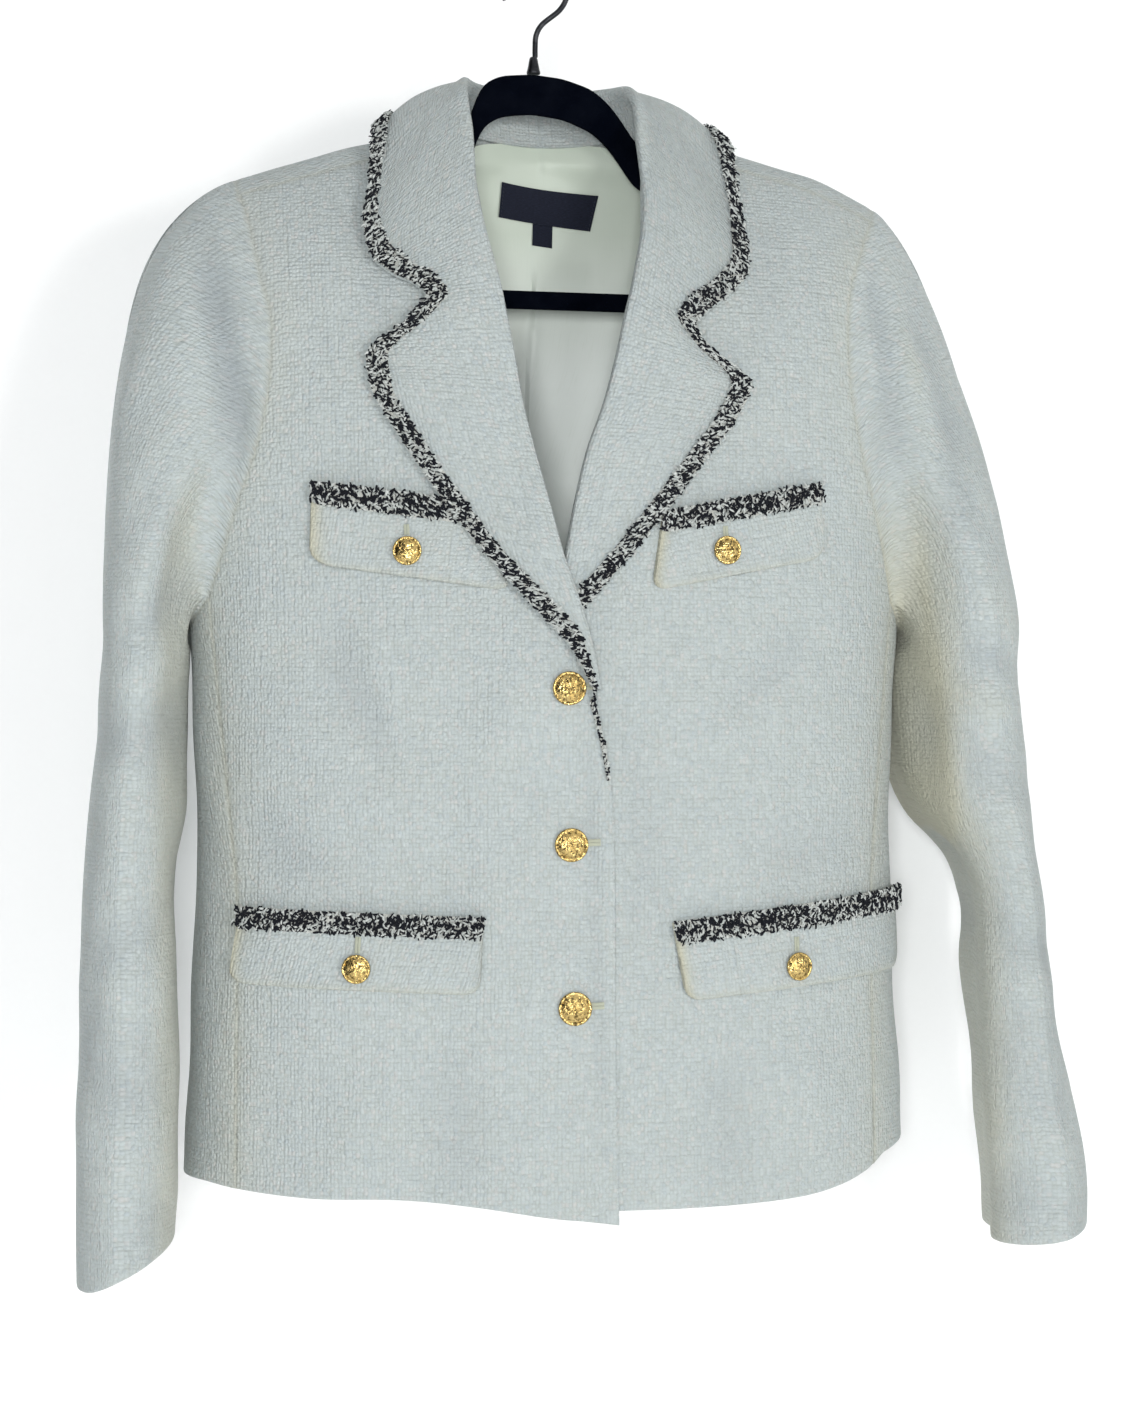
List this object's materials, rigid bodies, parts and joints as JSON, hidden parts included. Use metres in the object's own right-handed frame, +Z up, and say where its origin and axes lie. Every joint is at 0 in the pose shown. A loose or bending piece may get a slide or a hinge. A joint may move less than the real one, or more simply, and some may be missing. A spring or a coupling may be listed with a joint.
{
  "type": "cropped tweed jacket on a hanger",
  "caption": "Short buttoned tweed jacket with notched collar, braid-edged flaps and long sleeves, hung rigid on a padded hanger with a wire hook.",
  "frame": {"origin": "top of the hook's inside, where the rail touches it", "axes": "+Z up along the hanger's stem, +X to the wearer's left, +Y to the wearer's back"},
  "size_m": [0.5925, 0.1624, 0.7771],
  "materials": {
    "tweed": "ivory boucle tweed, matt",
    "lining": "cream satin, soft sheen",
    "braid": "tufted black and cream braid",
    "label": "woven navy satin",
    "gold": "polished gold-coloured metal",
    "velvet": "flocked black velvet",
    "hook": "dark plated wire"
  },
  "bodies": {
    "root": {"back": "tweed", "front_left": "tweed", "front_right": "tweed", "side_panel_left": "tweed", "side_panel_right": "tweed", "sleeve_left": "tweed", "sleeve_right": "tweed", "collar_left": "tweed", "collar_right": "tweed", "chest_flap_left": "tweed", "chest_flap_right": "tweed", "pocket_flap_left": "tweed", "pocket_flap_right": "tweed", "back_lining": "lining", "braid_chest_left": "braid", "braid_chest_right": "braid", "braid_collar_left": "braid", "braid_collar_right": "braid", "braid_pocket_left": "braid", "braid_pocket_right": "braid", "label": "label", "size_tab": "label", "front_button_1": "gold", "front_button_2": "gold", "front_button_3": "gold", "flap_button_1": "gold", "flap_button_2": "gold", "flap_button_3": "gold", "flap_button_4": "gold", "hanger_body": "velvet", "hanger_bar": "velvet", "hanger_ferrule": "velvet", "hanger_hook": "hook"}
  },
  "joints": []
}
